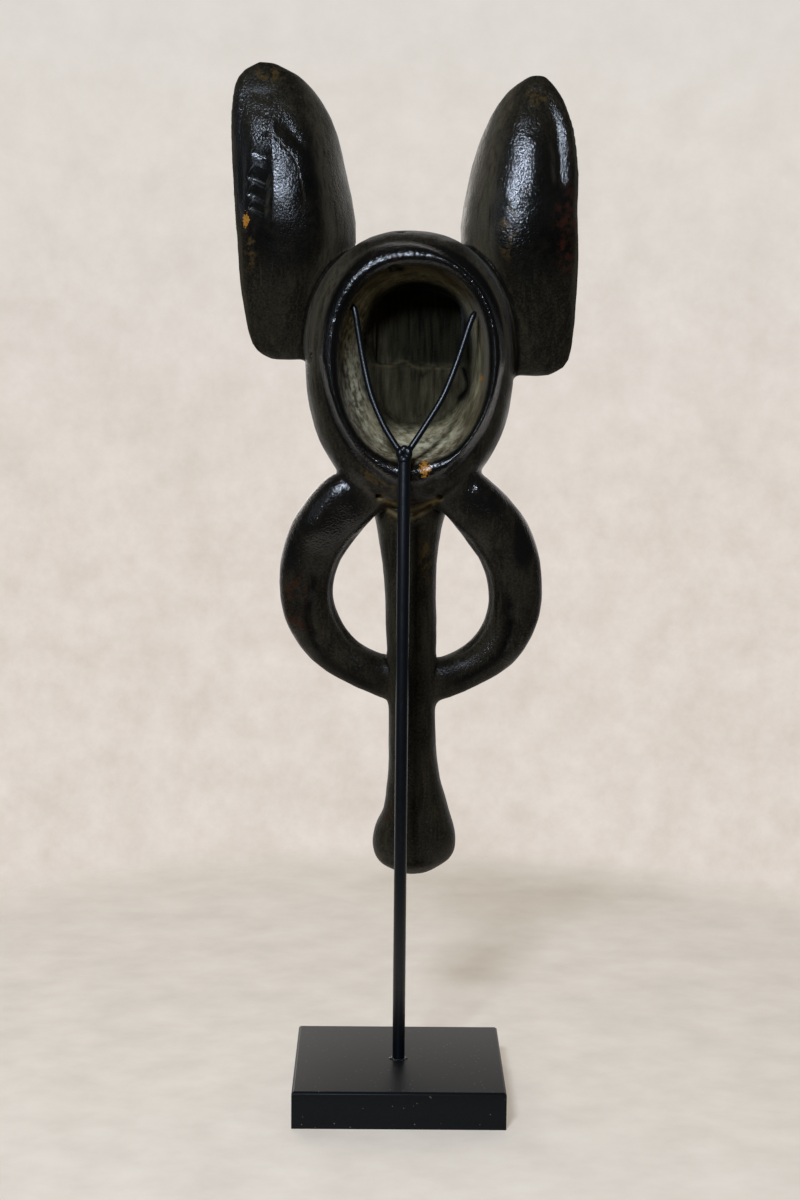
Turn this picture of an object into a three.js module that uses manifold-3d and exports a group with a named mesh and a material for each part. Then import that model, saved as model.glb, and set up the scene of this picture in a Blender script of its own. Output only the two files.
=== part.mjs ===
// An elephant mask carved from one block of wood, held up by a steel fork on a square wooden base.
// Millimetres, +Z up. The origin is the centre of the base's underside.
// The mask's face looks towards -Y, so its hollow back looks towards +Y. Its own left is +X.

import * as THREE from 'three';
import { LoftGeometry } from 'three/addons/geometries/LoftGeometry.js';
import { mergeVertices } from 'three/addons/utils/BufferGeometryUtils.js';
import Module from 'manifold-3d';

const wasm = await Module();
wasm.setup();
const { lerp, degToRad } = THREE.MathUtils;

// Stand
const baseSide = 150;
const baseHeight = 26.7;
const baseChamfer = 1.5;
const rodRadius = 4.5;
const rodSocketDepth = 14;
const roundColumns = 24;
const rodTop = 460.5;
const prongRadius = 2.1;
const prongSteps = 18;
const fitGap = 0.3;

// The fork's wires stand on the rod's end, spread, and lean in to hook behind the rim
const prongStart = rodTop + fitGap;
const leftProng = [
  [2.4, 0, prongStart], [2.8, -0.2, 465], [6.8, -1.5, 471], [15.8, -5, 486], [25, -10, 507],
  [30, -15, 530], [33.6, -18.5, 551], [35.2, -20, 561.5], [36.6, -21.2, 567], [39.4, -22.4, 568.8],
];
const rightProng = [
  [-2.4, 0, prongStart], [-2.8, -0.2, 465], [-5.4, -1.5, 470.5], [-14.5, -5, 486], [-27, -10, 507],
  [-36, -15, 528], [-42.6, -18.5, 546.5], [-46.4, -20.5, 557.5], [-50.2, -22.4, 565.5],
];

// Head: an egg seen from behind, cut off at the rim and hollowed out
const maskCentreX = -4.5;
const headCentreZ = 532;
const headHalfWidth = 74.9;
const headUp = 90.4;
const headDown = 104;
const faceStartY = -52;
const faceDepth = 55;
const upperPower = 2.2;
const lowerPower = 2;
const headColumns = 40;
const faceScales = [0.1, 0.25, 0.4, 0.54, 0.67, 0.78, 0.87, 0.94, 0.985];

// Sections of the head from its widest place over the rim and down into the hollow.
// up and down are measured from headCentreZ, and lower is the power of the lower half's curve.
const headSections = [
  { y: -38, centreX: -3.4, half: headHalfWidth, up: headUp, down: headDown, lower: 2.25 },
  { y: -27, centreX: -3.6, half: 73.4, up: 88.4, down: 103.5, lower: 2.05 },
  { y: -18, centreX: -4, half: 70, up: 85.2, down: 101, lower: 1.75 },
  { y: -14, centreX: -4.5, half: 66.2, up: 81.6, down: 95.5, lower: 1.62 },
  { y: -9.5, centreX: -4.8, half: 64.2, up: 79, down: 92, lower: 1.65 },
  { y: -5.8, centreX: -5.2, half: 61, up: 75.2, down: 87, lower: 1.75 },
  { y: -4.6, centreX: -5.5, half: 58, up: 71.8, down: 81.5, lower: 1.9 },
  { y: -6.4, centreX: -5.9, half: 55, up: 68.2, down: 76.3, lower: 2.1 },
  { y: -12, centreX: -6, half: 52.9, up: 64.7, down: 71.8, lower: 2.2 },
  { y: -21, centreX: -6.2, half: 52.4, up: 63, down: 69.6, lower: 2.2 },
  { y: -36, centreX: -7.2, half: 49, up: 59.4, down: 63, lower: 2.2 },
  { y: -51, centreX: -8.4, half: 43, up: 55, down: 55, lower: 2.2 },
  { y: -63, centreX: -9.3, half: 40, up: 53.5, down: 50, lower: 2.2 },
  { y: -69, centreX: -9.6, half: 36, up: 50, down: 46, lower: 2.2 },
];

// The upper half of the hollow's floor is cut deeper, down to a ledge like a shallow bow.
// Its outline goes straight to a point, or bends to it by way of another.
const recessOutline = [
  { to: [20.5, 527] },
  { to: [20.5, 565] },
  { by: [20.5, 581], to: [-4.8, 581] },
  { by: [-42, 581], to: [-42, 559] },
  { to: [-42, 526] },
  { by: [-22.8, 521], to: [-6.8, 529] },
  { by: [3.2, 524], to: [20.5, 527] },
];
const recessFloorY = -78;
const recessCutLength = 24;

// Ears: each rib runs from a point of the inner edge to a point of the outer edge, bottom to top
const leftEar = {
  side: 1,
  inner: [[58, 529.5], [58, 543], [51, 577], [36, 614], [42.3, 659], [54.2, 702], [73, 727.5], [95, 740]],
  outer: [
    [96, 529.5], [110, 541], [117.6, 579], [120.8, 618], [124, 662], [125, 705], [120.3, 730.5], [105, 741],
  ],
};
const rightEar = {
  side: -1,
  inner: [
    [-60, 519.5], [-62, 533], [-60, 567], [-40.5, 610], [-44.5, 655], [-56, 695], [-71.5, 720.8],
    [-89, 733.3],
  ],
  outer: [
    [-104, 519.5], [-118.5, 531], [-122.8, 571], [-123.4, 615], [-121.8, 656], [-117.5, 693],
    [-109.6, 719.5], [-97.5, 733.7],
  ],
};
const earInnerEdgeY = -74;
const earInnerTopForward = 12;
const earOuterEdgeY = -42;
const earTopRibs = 2.5;
// Behind, a rounded flank climbs from the inner edge to a crest, and a flatter side falls to the outer edge.
// Both bow forward above and below the ear's fullest height, like the back of a mussel shell.
const earCrestY = -27;
const earCrestAcross = 0.54;
const earFullestZ = 618;
const earCrestBow = 260;
const earEdgeBow = 480;
const earFullWidth = 32;
const earFlankPower = 2.4;
const earFlankRounding = 0.6;
const earSidePower = 1.7;
// In front, a shallow dish leaves a rim all round
const earEdgeThickness = 5;
const earWall = 13;
const earDishAcross = [0.05, 0.26, 0.78, 0.95];
const earDishFromBottom = [0.15, 1.3];
const earDishFromTop = [1.5, 0.3];
const earRibsPerSpan = 3;
const earBackColumns = 13;
const earFrontColumns = 9;

// A column of step cuts down the back of the left ear, and a short slanting row beside it
const notchLength = 13;
const notchHeight = 5.5;
const notchDepth = 1.8;
const notchTip = -14;
const notchSlant = -24;
const notchColumn = { count: 7, rib: [5.45, 3.4], across: [0.69, 0.82] };
const notchRow = { count: 3, rib: [4.78, 4.52], across: [0.46, 0.36] };

// Tusks: [distance from the mask's middle, depth, height], from the chin out, down and back to the trunk
const tuskPath = [
  [20, -42, 449], [43.5, -45, 429], [61, -50, 409], [71.5, -54, 390], [75.8, -58, 366],
  [72.3, -61, 343], [59.5, -64, 321], [38.5, -66, 305], [12, -67, 294.5],
];
const tuskHalfWidths = [19, 21, 22.3, 21.5, 19.9, 19.2, 17.4, 15, 16];
const tuskHalfDepth = 16;
const tuskPower = 2.4;
const tuskSteps = 20;
const tuskColumns = 14;
const tuskMiddleX = -5.5;
// How much farther out and lower each point of the right tusk lies
const rightTuskOut = [0, 0, 0, 0.3, 1.5, 3, 3.5, 1.5, 0];
const rightTuskDrop = [0, 0, 0, 0, 0.5, 1.5, 2.5, 3, 3];

// Trunk, from inside the chin down to the flared end
const trunkSections = [
  { z: 462, x: -5, y: -64, half: 30, depth: 27 },
  { z: 432, x: -5, y: -64, half: 30, depth: 26 },
  { z: 407, x: -4.6, y: -63, half: 23.8, depth: 21.5 },
  { z: 372, x: -5.6, y: -62, half: 19.4, depth: 18.6 },
  { z: 330, x: -7, y: -61, half: 18.8, depth: 18 },
  { z: 252, x: -8.4, y: -61.5, half: 17.5, depth: 17.4 },
  { z: 218, x: -10, y: -63, half: 20, depth: 18.6 },
  { z: 197, x: -11.6, y: -65, half: 24.6, depth: 20.6 },
  { z: 183, x: -11.3, y: -67, half: 29.8, depth: 22.4 },
  { z: 170, x: -10.6, y: -68.5, half: 31.2, depth: 22.6 },
  { z: 157, x: -11.2, y: -69, half: 26, depth: 19 },
  { z: 147.6, x: -11.8, y: -69, half: 9, depth: 7 },
];
const trunkPower = 2.15;
const trunkSteps = 2;
const trunkColumns = 20;

// Nose ridge, from between the brows down over the face and onto the front of the trunk
const noseSections = [
  { z: 560, y: -100, half: 4, depth: 4.5 },
  { z: 550, y: -101, half: 6.5, depth: 8.5 },
  { z: 520, y: -102, half: 8.5, depth: 11.5 },
  { z: 485, y: -99, half: 12.5, depth: 14.5 },
  { z: 455, y: -90, half: 18, depth: 17.5 },
  { z: 428, y: -78, half: 22.5, depth: 19 },
  { z: 400, y: -69, half: 20, depth: 18.5 },
  { z: 370, y: -63.5, half: 16, depth: 16 },
];
const noseSteps = 14;
const noseColumns = 14;
const nostril = { middleX: -10.4, apart: 9.5, y: -91, z: 172, halfX: 5, halfY: 5, halfZ: 6.5 };

// Eyes: a long bulge with a slit cut along it, under a raised brow
const eyeOutX = 29;
const eyeZ = 521;
const eyeSunk = 3;
const eyeTilt = 0.08;
const eye = { halfX: 19, halfY: 8, halfZ: 8.5 };
const eyeSlit = { forward: 8, down: 1, halfX: 14, halfY: 4, halfZ: 1.8 };
const browPath = [[4, 549], [20, 557], [40, 551], [57, 530]];
const browProud = 0.8;
const browRadius = 4.4;
const browEndShare = 0.45;
const browSteps = 9;

// Folds at the throat: two thin rolls that follow the chin where the trunk's root leaves it
const throatRolls = [
  { lowestZ: 425.5, y: -36.5, radius: 2.6 },
  { lowestZ: 418, y: -38, radius: 2 },
];
const throatRollXs = [-26, -15, -5, 5, 16];
const throatRollRise = 10.5;
const throatRollSag = 9;
const throatRollSteps = 10;
const thinRollColumns = 7;

// Old holes for cords, and the dents that the wires' tips have pressed into the wood
const cordHoles = [
  { from: [4, -44, 634], to: [3, -10, 586], radius: 2.5 },
  { from: [76, -20, 533], to: [52, -24, 534], radius: 2.4 },
];
const holeColumns = 12;
const tipSeatBeyond = 0.6;
const tipSeatLooseness = 0.5;

const materials = {
  wood: { color: 0x241e17, roughness: 0.38, metalness: 0 },
  stand: { color: 0x14181b, roughness: 0.45, metalness: 0 },
};

// Smooth value through [position, value] pairs given in rising order of position
function curveThrough(pairs) {
  const positions = pairs.map((pair) => pair[0]);
  const values = pairs.map((pair) => pair[1]);
  const curve = new THREE.CubicInterpolant(positions, values, 1, []);
  return (position) => curve.evaluate(position)[0];
}

function signedPower(value, power) {
  return Math.sign(value) * Math.abs(value) ** power;
}

function smoothStep(low, high, value) {
  return THREE.MathUtils.smoothstep(value, low, high);
}

// Smooth course of one key of a list of sections, over their height
function courseOf(sections, key) {
  return curveThrough([...sections].reverse().map((section) => [section.z, section[key]]));
}

// A three.js geometry as a closed solid, with its shared corners merged and its empty triangles dropped
function solidOf(geometry) {
  const bare = new THREE.BufferGeometry();
  bare.setAttribute('position', geometry.getAttribute('position'));
  bare.setIndex(geometry.getIndex());
  const merged = mergeVertices(bare, 1e-4);
  const corners = merged.index.array;
  const kept = [];
  for (let i = 0; i < corners.length; i += 3) {
    const [a, b, c] = [corners[i], corners[i + 1], corners[i + 2]];
    if (a !== b && b !== c && c !== a) kept.push(a, b, c);
  }
  return new wasm.Manifold(new wasm.Mesh({
    numProp: 3,
    vertProperties: Float32Array.from(merged.attributes.position.array),
    triVerts: Uint32Array.from(kept),
  }));
}

function geometryOf(solid) {
  const mesh = solid.getMesh();
  const geometry = new THREE.BufferGeometry();
  geometry.setAttribute('position', new THREE.BufferAttribute(mesh.vertProperties, 3));
  geometry.setIndex(new THREE.BufferAttribute(mesh.triVerts, 1));
  geometry.computeVertexNormals();
  return geometry;
}

function loft(sections, capEnd = true) {
  return solidOf(new LoftGeometry(sections, { capStart: true, capEnd }));
}

// A solid swept along points, with an oval section: across lies beside the path, deep lies along Y
function sweep(points, halfWidths, halfDepths, columns, power = 2) {
  const sections = points.map((point, i) => {
    const before = points[Math.max(i - 1, 0)];
    const after = points[Math.min(i + 1, points.length - 1)];
    const along = after.clone().sub(before).normalize();
    const deep = new THREE.Vector3(0, 1, 0);
    deep.addScaledVector(along, -deep.dot(along)).normalize();
    const across = deep.clone().cross(along);
    const section = [];
    for (let column = 0; column < columns; column += 1) {
      const angle = (column / columns) * Math.PI * 2;
      const wide = signedPower(Math.cos(angle), 2 / power) * halfWidths[i];
      const thick = signedPower(Math.sin(angle), 2 / power) * halfDepths[i];
      section.push(point.clone().addScaledVector(across, wide).addScaledVector(deep, thick));
    }
    return section;
  });
  return loft(sections);
}

// One closed section of the head at depth y, its lower half with a power of its own
function headSection({ y, centreX, half, up, down, lower }) {
  const section = [];
  for (let column = 0; column < headColumns; column += 1) {
    const angle = (column / headColumns) * Math.PI * 2;
    const above = Math.sin(angle) >= 0;
    const power = 2 / (above ? upperPower : lower);
    const x = centreX - half * signedPower(Math.cos(angle), power);
    const z = headCentreZ + (above ? up : down) * signedPower(Math.sin(angle), power);
    section.push(new THREE.Vector3(x, y, z));
  }
  return section;
}

// Depth of the face's surface in front of a point of the frontal plane
function faceY(x, z) {
  const above = z > headCentreZ;
  const power = above ? upperPower : lowerPower;
  const wide = Math.abs((x - maskCentreX) / headHalfWidth) ** power;
  const high = Math.abs((z - headCentreZ) / (above ? headUp : headDown)) ** power;
  return faceStartY - faceDepth * Math.sqrt(Math.max(1 - wide - high, 0));
}

function headSolid() {
  const widest = headSections[0];
  const front = faceScales.map((scale) => headSection({
    y: faceStartY - faceDepth * Math.sqrt(1 - scale ** upperPower),
    centreX: maskCentreX,
    half: headHalfWidth * scale,
    up: headUp * scale,
    down: headDown * scale,
    lower: lowerPower,
  }));
  const side = headSection({ ...widest, y: faceStartY, centreX: maskCentreX });
  const floor = headSections.at(-1);
  const floorMiddle = new THREE.Vector3(floor.centreX, floor.y - 1, headCentreZ);
  const pole = Array.from({ length: headColumns }, () => floorMiddle);
  return loft([...front, side, ...headSections.map(headSection), pole], false);
}

// The deeper upper part of the hollow's floor
function recessSolid() {
  const [start, ...others] = recessOutline;
  const outline = new THREE.Shape();
  outline.moveTo(...start.to);
  for (const { by, to } of others) {
    if (by) outline.quadraticCurveTo(...by, ...to);
    else outline.lineTo(...to);
  }
  const settings = { depth: recessCutLength, bevelEnabled: false, curveSegments: 6 };
  const geometry = new THREE.ExtrudeGeometry(outline, settings);
  geometry.rotateX(Math.PI / 2);
  geometry.translate(0, recessFloorY + recessCutLength, 0);
  return solidOf(geometry);
}

// A smooth curve through the [x, z] points of an ear's edge
function earEdge(points) {
  const path = points.map(([x, z]) => new THREE.Vector3(x, 0, z));
  return new THREE.CatmullRomCurve3(path, false, 'catmullrom', 0.5);
}

// A point of an ear: rib counts up from the bottom, across goes from the inner edge (0) to the outer (1)
function earPoint(ear, rib, across, onBack) {
  const spans = ear.inner.length - 1;
  const inner = earEdge(ear.inner).getPoint(rib / spans);
  const outer = earEdge(ear.outer).getPoint(rib / spans);
  const point = inner.clone().lerp(outer, across);
  const top = smoothStep(spans - earTopRibs, spans, rib);
  const innerY = earInnerEdgeY + earInnerTopForward * top;
  const fromFullest = (point.z - earFullestZ) ** 2;
  const outerY = earOuterEdgeY - fromFullest / (2 * earEdgeBow);
  const edgeY = lerp(innerY, outerY, across);
  const fullness = 1 - Math.exp(-inner.distanceTo(outer) / earFullWidth);
  const crestY = lerp((innerY + outerY) / 2, earCrestY - fromFullest / (2 * earCrestBow), fullness);
  const inFlank = across < earCrestAcross;
  const rise = inFlank
    ? (1 - (1 - across / earCrestAcross) ** earFlankPower) ** earFlankRounding
    : 1 - ((across - earCrestAcross) / (1 - earCrestAcross)) ** earSidePower;
  const backY = lerp(inFlank ? innerY : outerY, crestY, rise);
  const rimY = edgeY - earEdgeThickness;
  const [inLow, inHigh, outLow, outHigh] = earDishAcross;
  const [topLow, topHigh] = earDishFromTop;
  const dishAcross = smoothStep(inLow, inHigh, across) * (1 - smoothStep(outLow, outHigh, across));
  const dishUp = smoothStep(...earDishFromBottom, rib);
  const dishAlong = dishUp * (1 - smoothStep(spans - topLow, spans - topHigh, rib));
  const dishY = Math.max(backY - earWall, rimY);
  point.y = onBack ? backY : lerp(rimY, dishY, dishAcross * dishAlong);
  return point;
}

function earSolid(ear) {
  const spans = ear.inner.length - 1;
  const sections = [];
  for (let step = 0; step <= spans * earRibsPerSpan; step += 1) {
    const rib = step / earRibsPerSpan;
    const section = [];
    for (let i = 0; i < earFrontColumns; i += 1) {
      section.push(earPoint(ear, rib, i / (earFrontColumns - 1), false));
    }
    for (let i = 0; i < earBackColumns; i += 1) {
      const across = (1 + Math.cos((i / (earBackColumns - 1)) * Math.PI)) / 2;
      section.push(earPoint(ear, rib, across, true));
    }
    sections.push(ear.side > 0 ? section : section.reverse());
  }
  return loft(sections);
}

// Step cuts along the back of an ear, each a block laid aslant and tipped so its lower edge bites deepest
function notchSolids(ear, { count, rib, across }) {
  const solids = [];
  for (let i = 0; i < count; i += 1) {
    const part = i / (count - 1);
    const place = earPoint(ear, lerp(...rib, part), lerp(...across, part), true);
    const block = new THREE.BoxGeometry(notchLength, notchDepth * 2, notchHeight);
    block.rotateX(degToRad(notchTip));
    block.rotateY(degToRad(notchSlant));
    block.translate(place.x, place.y, place.z);
    solids.push(solidOf(block));
  }
  return solids;
}

function tuskSolid(side) {
  const path = new THREE.CatmullRomCurve3(
    tuskPath.map(([out, y, z], i) => {
      const [farther, lower] = side < 0 ? [rightTuskOut[i], rightTuskDrop[i]] : [0, 0];
      return new THREE.Vector3(tuskMiddleX + side * (out + farther), y, z - lower);
    }),
    false, 'catmullrom', 0.5,
  );
  const spans = tuskPath.length - 1;
  const widthAt = curveThrough(tuskHalfWidths.map((half, i) => [i, half]));
  const points = [];
  const halfWidths = [];
  for (let step = 0; step <= tuskSteps; step += 1) {
    points.push(path.getPoint(step / tuskSteps));
    halfWidths.push(widthAt((step / tuskSteps) * spans));
  }
  const halfDepths = halfWidths.map(() => tuskHalfDepth);
  return sweep(points, halfWidths, halfDepths, tuskColumns, tuskPower);
}

function trunkSolid() {
  const heights = [];
  for (let i = 0; i < trunkSections.length - 1; i += 1) {
    for (let part = 0; part < trunkSteps; part += 1) {
      heights.push(lerp(trunkSections[i].z, trunkSections[i + 1].z, part / trunkSteps));
    }
  }
  heights.push(trunkSections.at(-1).z);
  const [xAt, yAt, halfAt, depthAt] = ['x', 'y', 'half', 'depth'].map((key) => courseOf(trunkSections, key));
  const points = heights.map((z) => new THREE.Vector3(xAt(z), yAt(z), z));
  return sweep(points, heights.map(halfAt), heights.map(depthAt), trunkColumns, trunkPower);
}

function noseSolid() {
  const [yAt, halfAt, depthAt] = ['y', 'half', 'depth'].map((key) => courseOf(noseSections, key));
  const heights = [];
  for (let i = 0; i <= noseSteps; i += 1) {
    heights.push(lerp(noseSections[0].z, noseSections.at(-1).z, i / noseSteps));
  }
  const points = heights.map((z) => new THREE.Vector3(maskCentreX, yAt(z), z));
  return sweep(points, heights.map(halfAt), heights.map(depthAt), noseColumns);
}

// A brow: a raised arc from the nose's top out over the eye
function browSolid(side) {
  const path = new THREE.CatmullRomCurve3(browPath.map(([out, z]) => {
    const x = maskCentreX + side * out;
    return new THREE.Vector3(x, faceY(x, z) + browProud, z);
  }));
  const points = path.getPoints(browSteps);
  const swell = points.map((point, i) => (
    browRadius * lerp(browEndShare, 1, Math.sin((i / browSteps) * Math.PI))
  ));
  return sweep(points, swell, swell, thinRollColumns);
}

function ellipsoid(centre, { halfX, halfY, halfZ }, tilt = 0) {
  const geometry = new THREE.SphereGeometry(1, 12, 6);
  geometry.scale(halfX, halfY, halfZ);
  geometry.rotateY(tilt);
  geometry.translate(centre.x, centre.y, centre.z);
  return solidOf(geometry);
}

function eyeCentre(side) {
  const x = maskCentreX + side * eyeOutX;
  return new THREE.Vector3(x, faceY(x, eyeZ) + eyeSunk, eyeZ);
}

function eyeSolid(side) {
  return ellipsoid(eyeCentre(side), eye, side * eyeTilt);
}

function eyeSlitSolid(side) {
  const centre = eyeCentre(side).add(new THREE.Vector3(0, -eyeSlit.forward, -eyeSlit.down));
  return ellipsoid(centre, eyeSlit, side * eyeTilt);
}

function nostrilSolid(side) {
  const centre = new THREE.Vector3(nostril.middleX + side * nostril.apart, nostril.y, nostril.z);
  return ellipsoid(centre, nostril);
}

function throatRollSolid({ lowestZ, y, radius }) {
  const middle = (throatRollXs[0] + throatRollXs.at(-1)) / 2;
  const path = new THREE.CatmullRomCurve3(throatRollXs.map((x) => {
    const out = Math.abs(x - middle) / (throatRollXs.at(-1) - middle);
    return new THREE.Vector3(x, y - throatRollSag * out ** 2, lowestZ + throatRollRise * out ** 1.5);
  }));
  const points = path.getPoints(throatRollSteps);
  const radii = points.map(() => radius);
  return sweep(points, radii, radii, thinRollColumns);
}

// A round hole bored straight from one point to another
function boreSolid(from, to, radius) {
  const along = to.clone().sub(from);
  const geometry = new THREE.CylinderGeometry(radius, radius, along.length(), holeColumns);
  geometry.applyQuaternion(new THREE.Quaternion().setFromUnitVectors(
    new THREE.Vector3(0, 1, 0), along.clone().normalize(),
  ));
  const middle = from.clone().lerp(to, 0.5);
  geometry.translate(middle.x, middle.y, middle.z);
  return solidOf(geometry);
}

function cordHoleSolid({ from, to, radius }) {
  return boreSolid(new THREE.Vector3(...from), new THREE.Vector3(...to), radius);
}

// The dent that a wire's tip has pressed into the wood behind the rim
function tipSeatSolid(prong) {
  const [before, tip] = prong.slice(-2).map((point) => new THREE.Vector3(...point));
  const beyond = tip.clone().sub(before).setLength(tipSeatBeyond).add(tip);
  return boreSolid(before, beyond, prongRadius + tipSeatLooseness);
}

function maskSolid() {
  const sides = [1, -1];
  const joined = [
    earSolid(leftEar), earSolid(rightEar), ...sides.map(tuskSolid), trunkSolid(), noseSolid(),
    ...sides.map(browSolid), ...sides.map(eyeSolid), ...throatRolls.map(throatRollSolid),
  ];
  const cut = [
    recessSolid(), ...notchSolids(leftEar, notchColumn), ...notchSolids(leftEar, notchRow),
    ...sides.map(eyeSlitSolid), ...sides.map(nostrilSolid), ...cordHoles.map(cordHoleSolid),
    tipSeatSolid(leftProng), tipSeatSolid(rightProng),
  ];
  let solid = headSolid();
  for (const piece of joined) solid = solid.add(piece);
  for (const piece of cut) solid = solid.subtract(piece);
  return solid;
}

function baseSolid() {
  const square = (half, z) => [[1, 1], [-1, 1], [-1, -1], [1, -1]].map(
    ([x, y]) => new THREE.Vector3(x * half, y * half, z),
  );
  const half = baseSide / 2;
  const block = loft([
    square(half, 0), square(half, baseHeight - baseChamfer), square(half - baseChamfer, baseHeight),
  ]);
  const socketRadius = rodRadius + fitGap;
  const socket = new THREE.CylinderGeometry(socketRadius, socketRadius, rodSocketDepth * 2, roundColumns);
  socket.rotateX(Math.PI / 2);
  socket.translate(0, 0, baseHeight);
  return block.subtract(solidOf(socket));
}

function rodGeometry() {
  const foot = baseHeight - rodSocketDepth + fitGap;
  const geometry = new THREE.CylinderGeometry(rodRadius, rodRadius, rodTop - foot, roundColumns);
  geometry.rotateX(Math.PI / 2);
  geometry.translate(0, 0, (foot + rodTop) / 2);
  return geometry;
}

function prongGeometry(points) {
  const path = new THREE.CatmullRomCurve3(points.map((point) => new THREE.Vector3(...point)));
  const section = new THREE.Shape();
  section.absarc(0, 0, prongRadius, 0, Math.PI * 2);
  return new THREE.ExtrudeGeometry(section, { steps: prongSteps, curveSegments: 4, extrudePath: path });
}

const object = new THREE.Group();

function addPiece(name, geometry, finish) {
  const mesh = new THREE.Mesh(geometry, new THREE.MeshStandardMaterial({ name, ...finish }));
  mesh.name = name;
  object.add(mesh);
}

addPiece('elephant_mask', geometryOf(maskSolid()), materials.wood);
addPiece('base_block', geometryOf(baseSolid()), materials.stand);
addPiece('support_rod', rodGeometry(), materials.stand);
addPiece('fork_prong_left', prongGeometry(leftProng), materials.stand);
addPiece('fork_prong_right', prongGeometry(rightProng), materials.stand);

export default object;
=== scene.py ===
# A carved elephant mask on its steel fork and square base, seen from behind as in the photograph.
# Metres, +Z up. The mask's face looks to -Y, its hollow back to +Y, and +X is at the photograph's left.
import math
import random

import bpy
import numpy as np
from mathutils import Matrix, Vector


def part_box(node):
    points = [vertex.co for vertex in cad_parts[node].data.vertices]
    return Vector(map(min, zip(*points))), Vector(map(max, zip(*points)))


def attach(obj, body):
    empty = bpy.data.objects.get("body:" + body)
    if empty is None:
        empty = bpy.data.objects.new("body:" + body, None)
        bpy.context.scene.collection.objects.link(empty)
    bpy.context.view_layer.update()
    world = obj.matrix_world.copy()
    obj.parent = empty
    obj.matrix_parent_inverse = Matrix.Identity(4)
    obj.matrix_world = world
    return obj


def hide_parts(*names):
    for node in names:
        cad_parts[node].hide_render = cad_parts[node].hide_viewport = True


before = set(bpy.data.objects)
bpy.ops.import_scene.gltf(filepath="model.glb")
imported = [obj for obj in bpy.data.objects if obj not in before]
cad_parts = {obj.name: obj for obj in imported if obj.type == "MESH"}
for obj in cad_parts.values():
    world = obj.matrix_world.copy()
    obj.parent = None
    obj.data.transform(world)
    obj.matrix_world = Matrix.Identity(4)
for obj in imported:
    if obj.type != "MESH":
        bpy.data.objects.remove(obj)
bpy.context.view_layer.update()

mm = 0.001
random.seed(7)
print("frame loaded")


# Working helpers

def deselectAll():
    bpy.ops.object.select_all(action="DESELECT")


def pick(piece):
    deselectAll()
    piece.select_set(True)
    bpy.context.view_layer.objects.active = piece


def useModifier(piece, kind, **settings):
    pick(piece)
    modifier = piece.modifiers.new(kind.title(), kind)
    for name, value in settings.items():
        setattr(modifier, name, value)
    bpy.ops.object.modifier_apply(modifier=modifier.name)


def copyOfNode(nodeName, name):
    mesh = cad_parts[nodeName].data.copy()
    mesh.materials.clear()
    piece = bpy.data.objects.new(name, mesh)
    bpy.context.scene.collection.objects.link(piece)
    pick(piece)
    bpy.ops.object.mode_set(mode="EDIT")
    bpy.ops.mesh.select_all(action="SELECT")
    bpy.ops.mesh.remove_doubles(threshold=0.01 * mm)
    bpy.ops.object.mode_set(mode="OBJECT")
    return piece


def settle(piece):
    pick(piece)
    bpy.ops.object.transform_apply(location=True, rotation=True, scale=True)


def smoothStep(low, high, values):
    t = np.clip((values - low) / (high - low), 0, 1)
    return t * t * (3 - 2 * t)


def readVectors(mesh, what):
    values = np.empty(len(mesh.vertices) * 3, np.float32)
    mesh.vertices.foreach_get(what, values)
    return values.reshape(-1, 3).astype(float)


def writePoints(mesh, points):
    mesh.vertices.foreach_set("co", points.astype(np.float32).ravel())
    mesh.update()


def neighboursOf(mesh):
    ends = np.empty(len(mesh.edges) * 2, np.int32)
    mesh.edges.foreach_get("vertices", ends)
    first, second = ends.reshape(-1, 2).T
    size = len(mesh.vertices)
    count = np.bincount(first, minlength=size) + np.bincount(second, minlength=size)
    return first, second, np.maximum(count, 1)


def averaged(values, neighbours, times, pull=0.5):
    first, second, count = neighbours
    values = values.copy()
    columns = [values] if values.ndim == 1 else [values[:, i] for i in range(values.shape[1])]
    for column in columns:
        for step in range(times):
            total = np.bincount(first, column[second], len(count))
            total += np.bincount(second, column[first], len(count))
            column += pull * (total / count - column)
    return values


# The mask: the node's own solid, its facets smoothed away and its tool work cut in

maskForm = {
    "voxel": 1.0,       # mm
    "facetSmoothing": 5.0,                # mm, how far the facets are rubbed out
    "edgeRounding": 1.1,                  # mm, how far edges are worn round
    "cornerFilling": 4.5,                 # mm, how wide inner corners are filled
    "triangles": 196000,
    # boxes in mm, each from its low corner to its high one
    "keepCorners": [                      # inner corners stay crisp: throat, hollow, face, tusks' ends
        ((-34, -60, 404), (24, 0, 442)), ((-50, -100, 478), (36, -40, 590)), ((-80, -160, 300), (70, -78, 600)),
        ((-62, -100, 296), (50, -30, 345)),
    ],
    "rubOut": [                           # the plain notches are smoothed off first
        ((94, -60, 622), (116, 0, 722)), ((66, -60, 674), (102, 0, 702)),
    ],
    "planed": ((96, -60, 626), (113, 0, 716)),
    "bluntTips": [((-108, -90, 719), (-76, 0, 745)), ((84, -90, 728), (118, 0, 748))],
}

# Back of the mask: the superellipse of the hollow's mouth
hollowMouth = {"centre": (-5.9, 532.0), "half": 54.4, "up": 67.4, "down": 75.0, "power": 2.2}


def throughPoints(path, steps=6):
    # a smooth line through given points, Catmull-Rom
    points = np.array(path, float)
    if len(points) < 3:
        return points
    padded = np.vstack([2 * points[0] - points[1], points, 2 * points[-1] - points[-2]])
    line = []
    for i in range(len(points) - 1):
        p0, p1, p2, p3 = padded[i:i + 4]
        for t in np.arange(steps) / steps:
            line.append(0.5 * (2 * p1 + (p2 - p0) * t + (2 * p0 - 5 * p1 + 4 * p2 - p3) * t ** 2
                               + (3 * p1 - p0 - 3 * p2 + p3) * t ** 3))
    line.append(points[-1])
    return np.array(line)


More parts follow.
